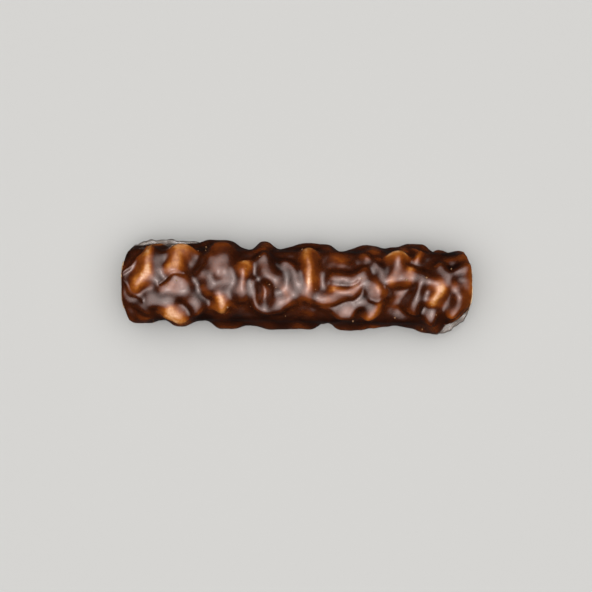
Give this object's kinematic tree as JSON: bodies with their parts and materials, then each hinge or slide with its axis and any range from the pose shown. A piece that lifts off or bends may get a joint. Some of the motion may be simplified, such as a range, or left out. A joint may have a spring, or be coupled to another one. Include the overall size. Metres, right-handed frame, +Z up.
{
  "type": "cut stick of churchkhela",
  "caption": "Cut stick of walnut kernels under a knobbly, glossy dark coat of thickened grape must, open at both knife cuts.",
  "frame": {"origin": "on the table, under the middle of the stick's bounding box", "axes": "+X along the stick, towards the right in the picture; +Y across it, towards the top of the picture; +Z up"},
  "size_m": [0.1256, 0.0339, 0.0276],
  "materials": {
    "grape_must": "dried grape must thickened with flour: dark brown, glossy and a little see-through where thin",
    "walnut_kernel": "cut walnut kernel, cream to light brown, matt"
  },
  "bodies": {
    "root": {"must_coat": "grape_must", "walnut_filling": "walnut_kernel"}
  },
  "joints": []
}
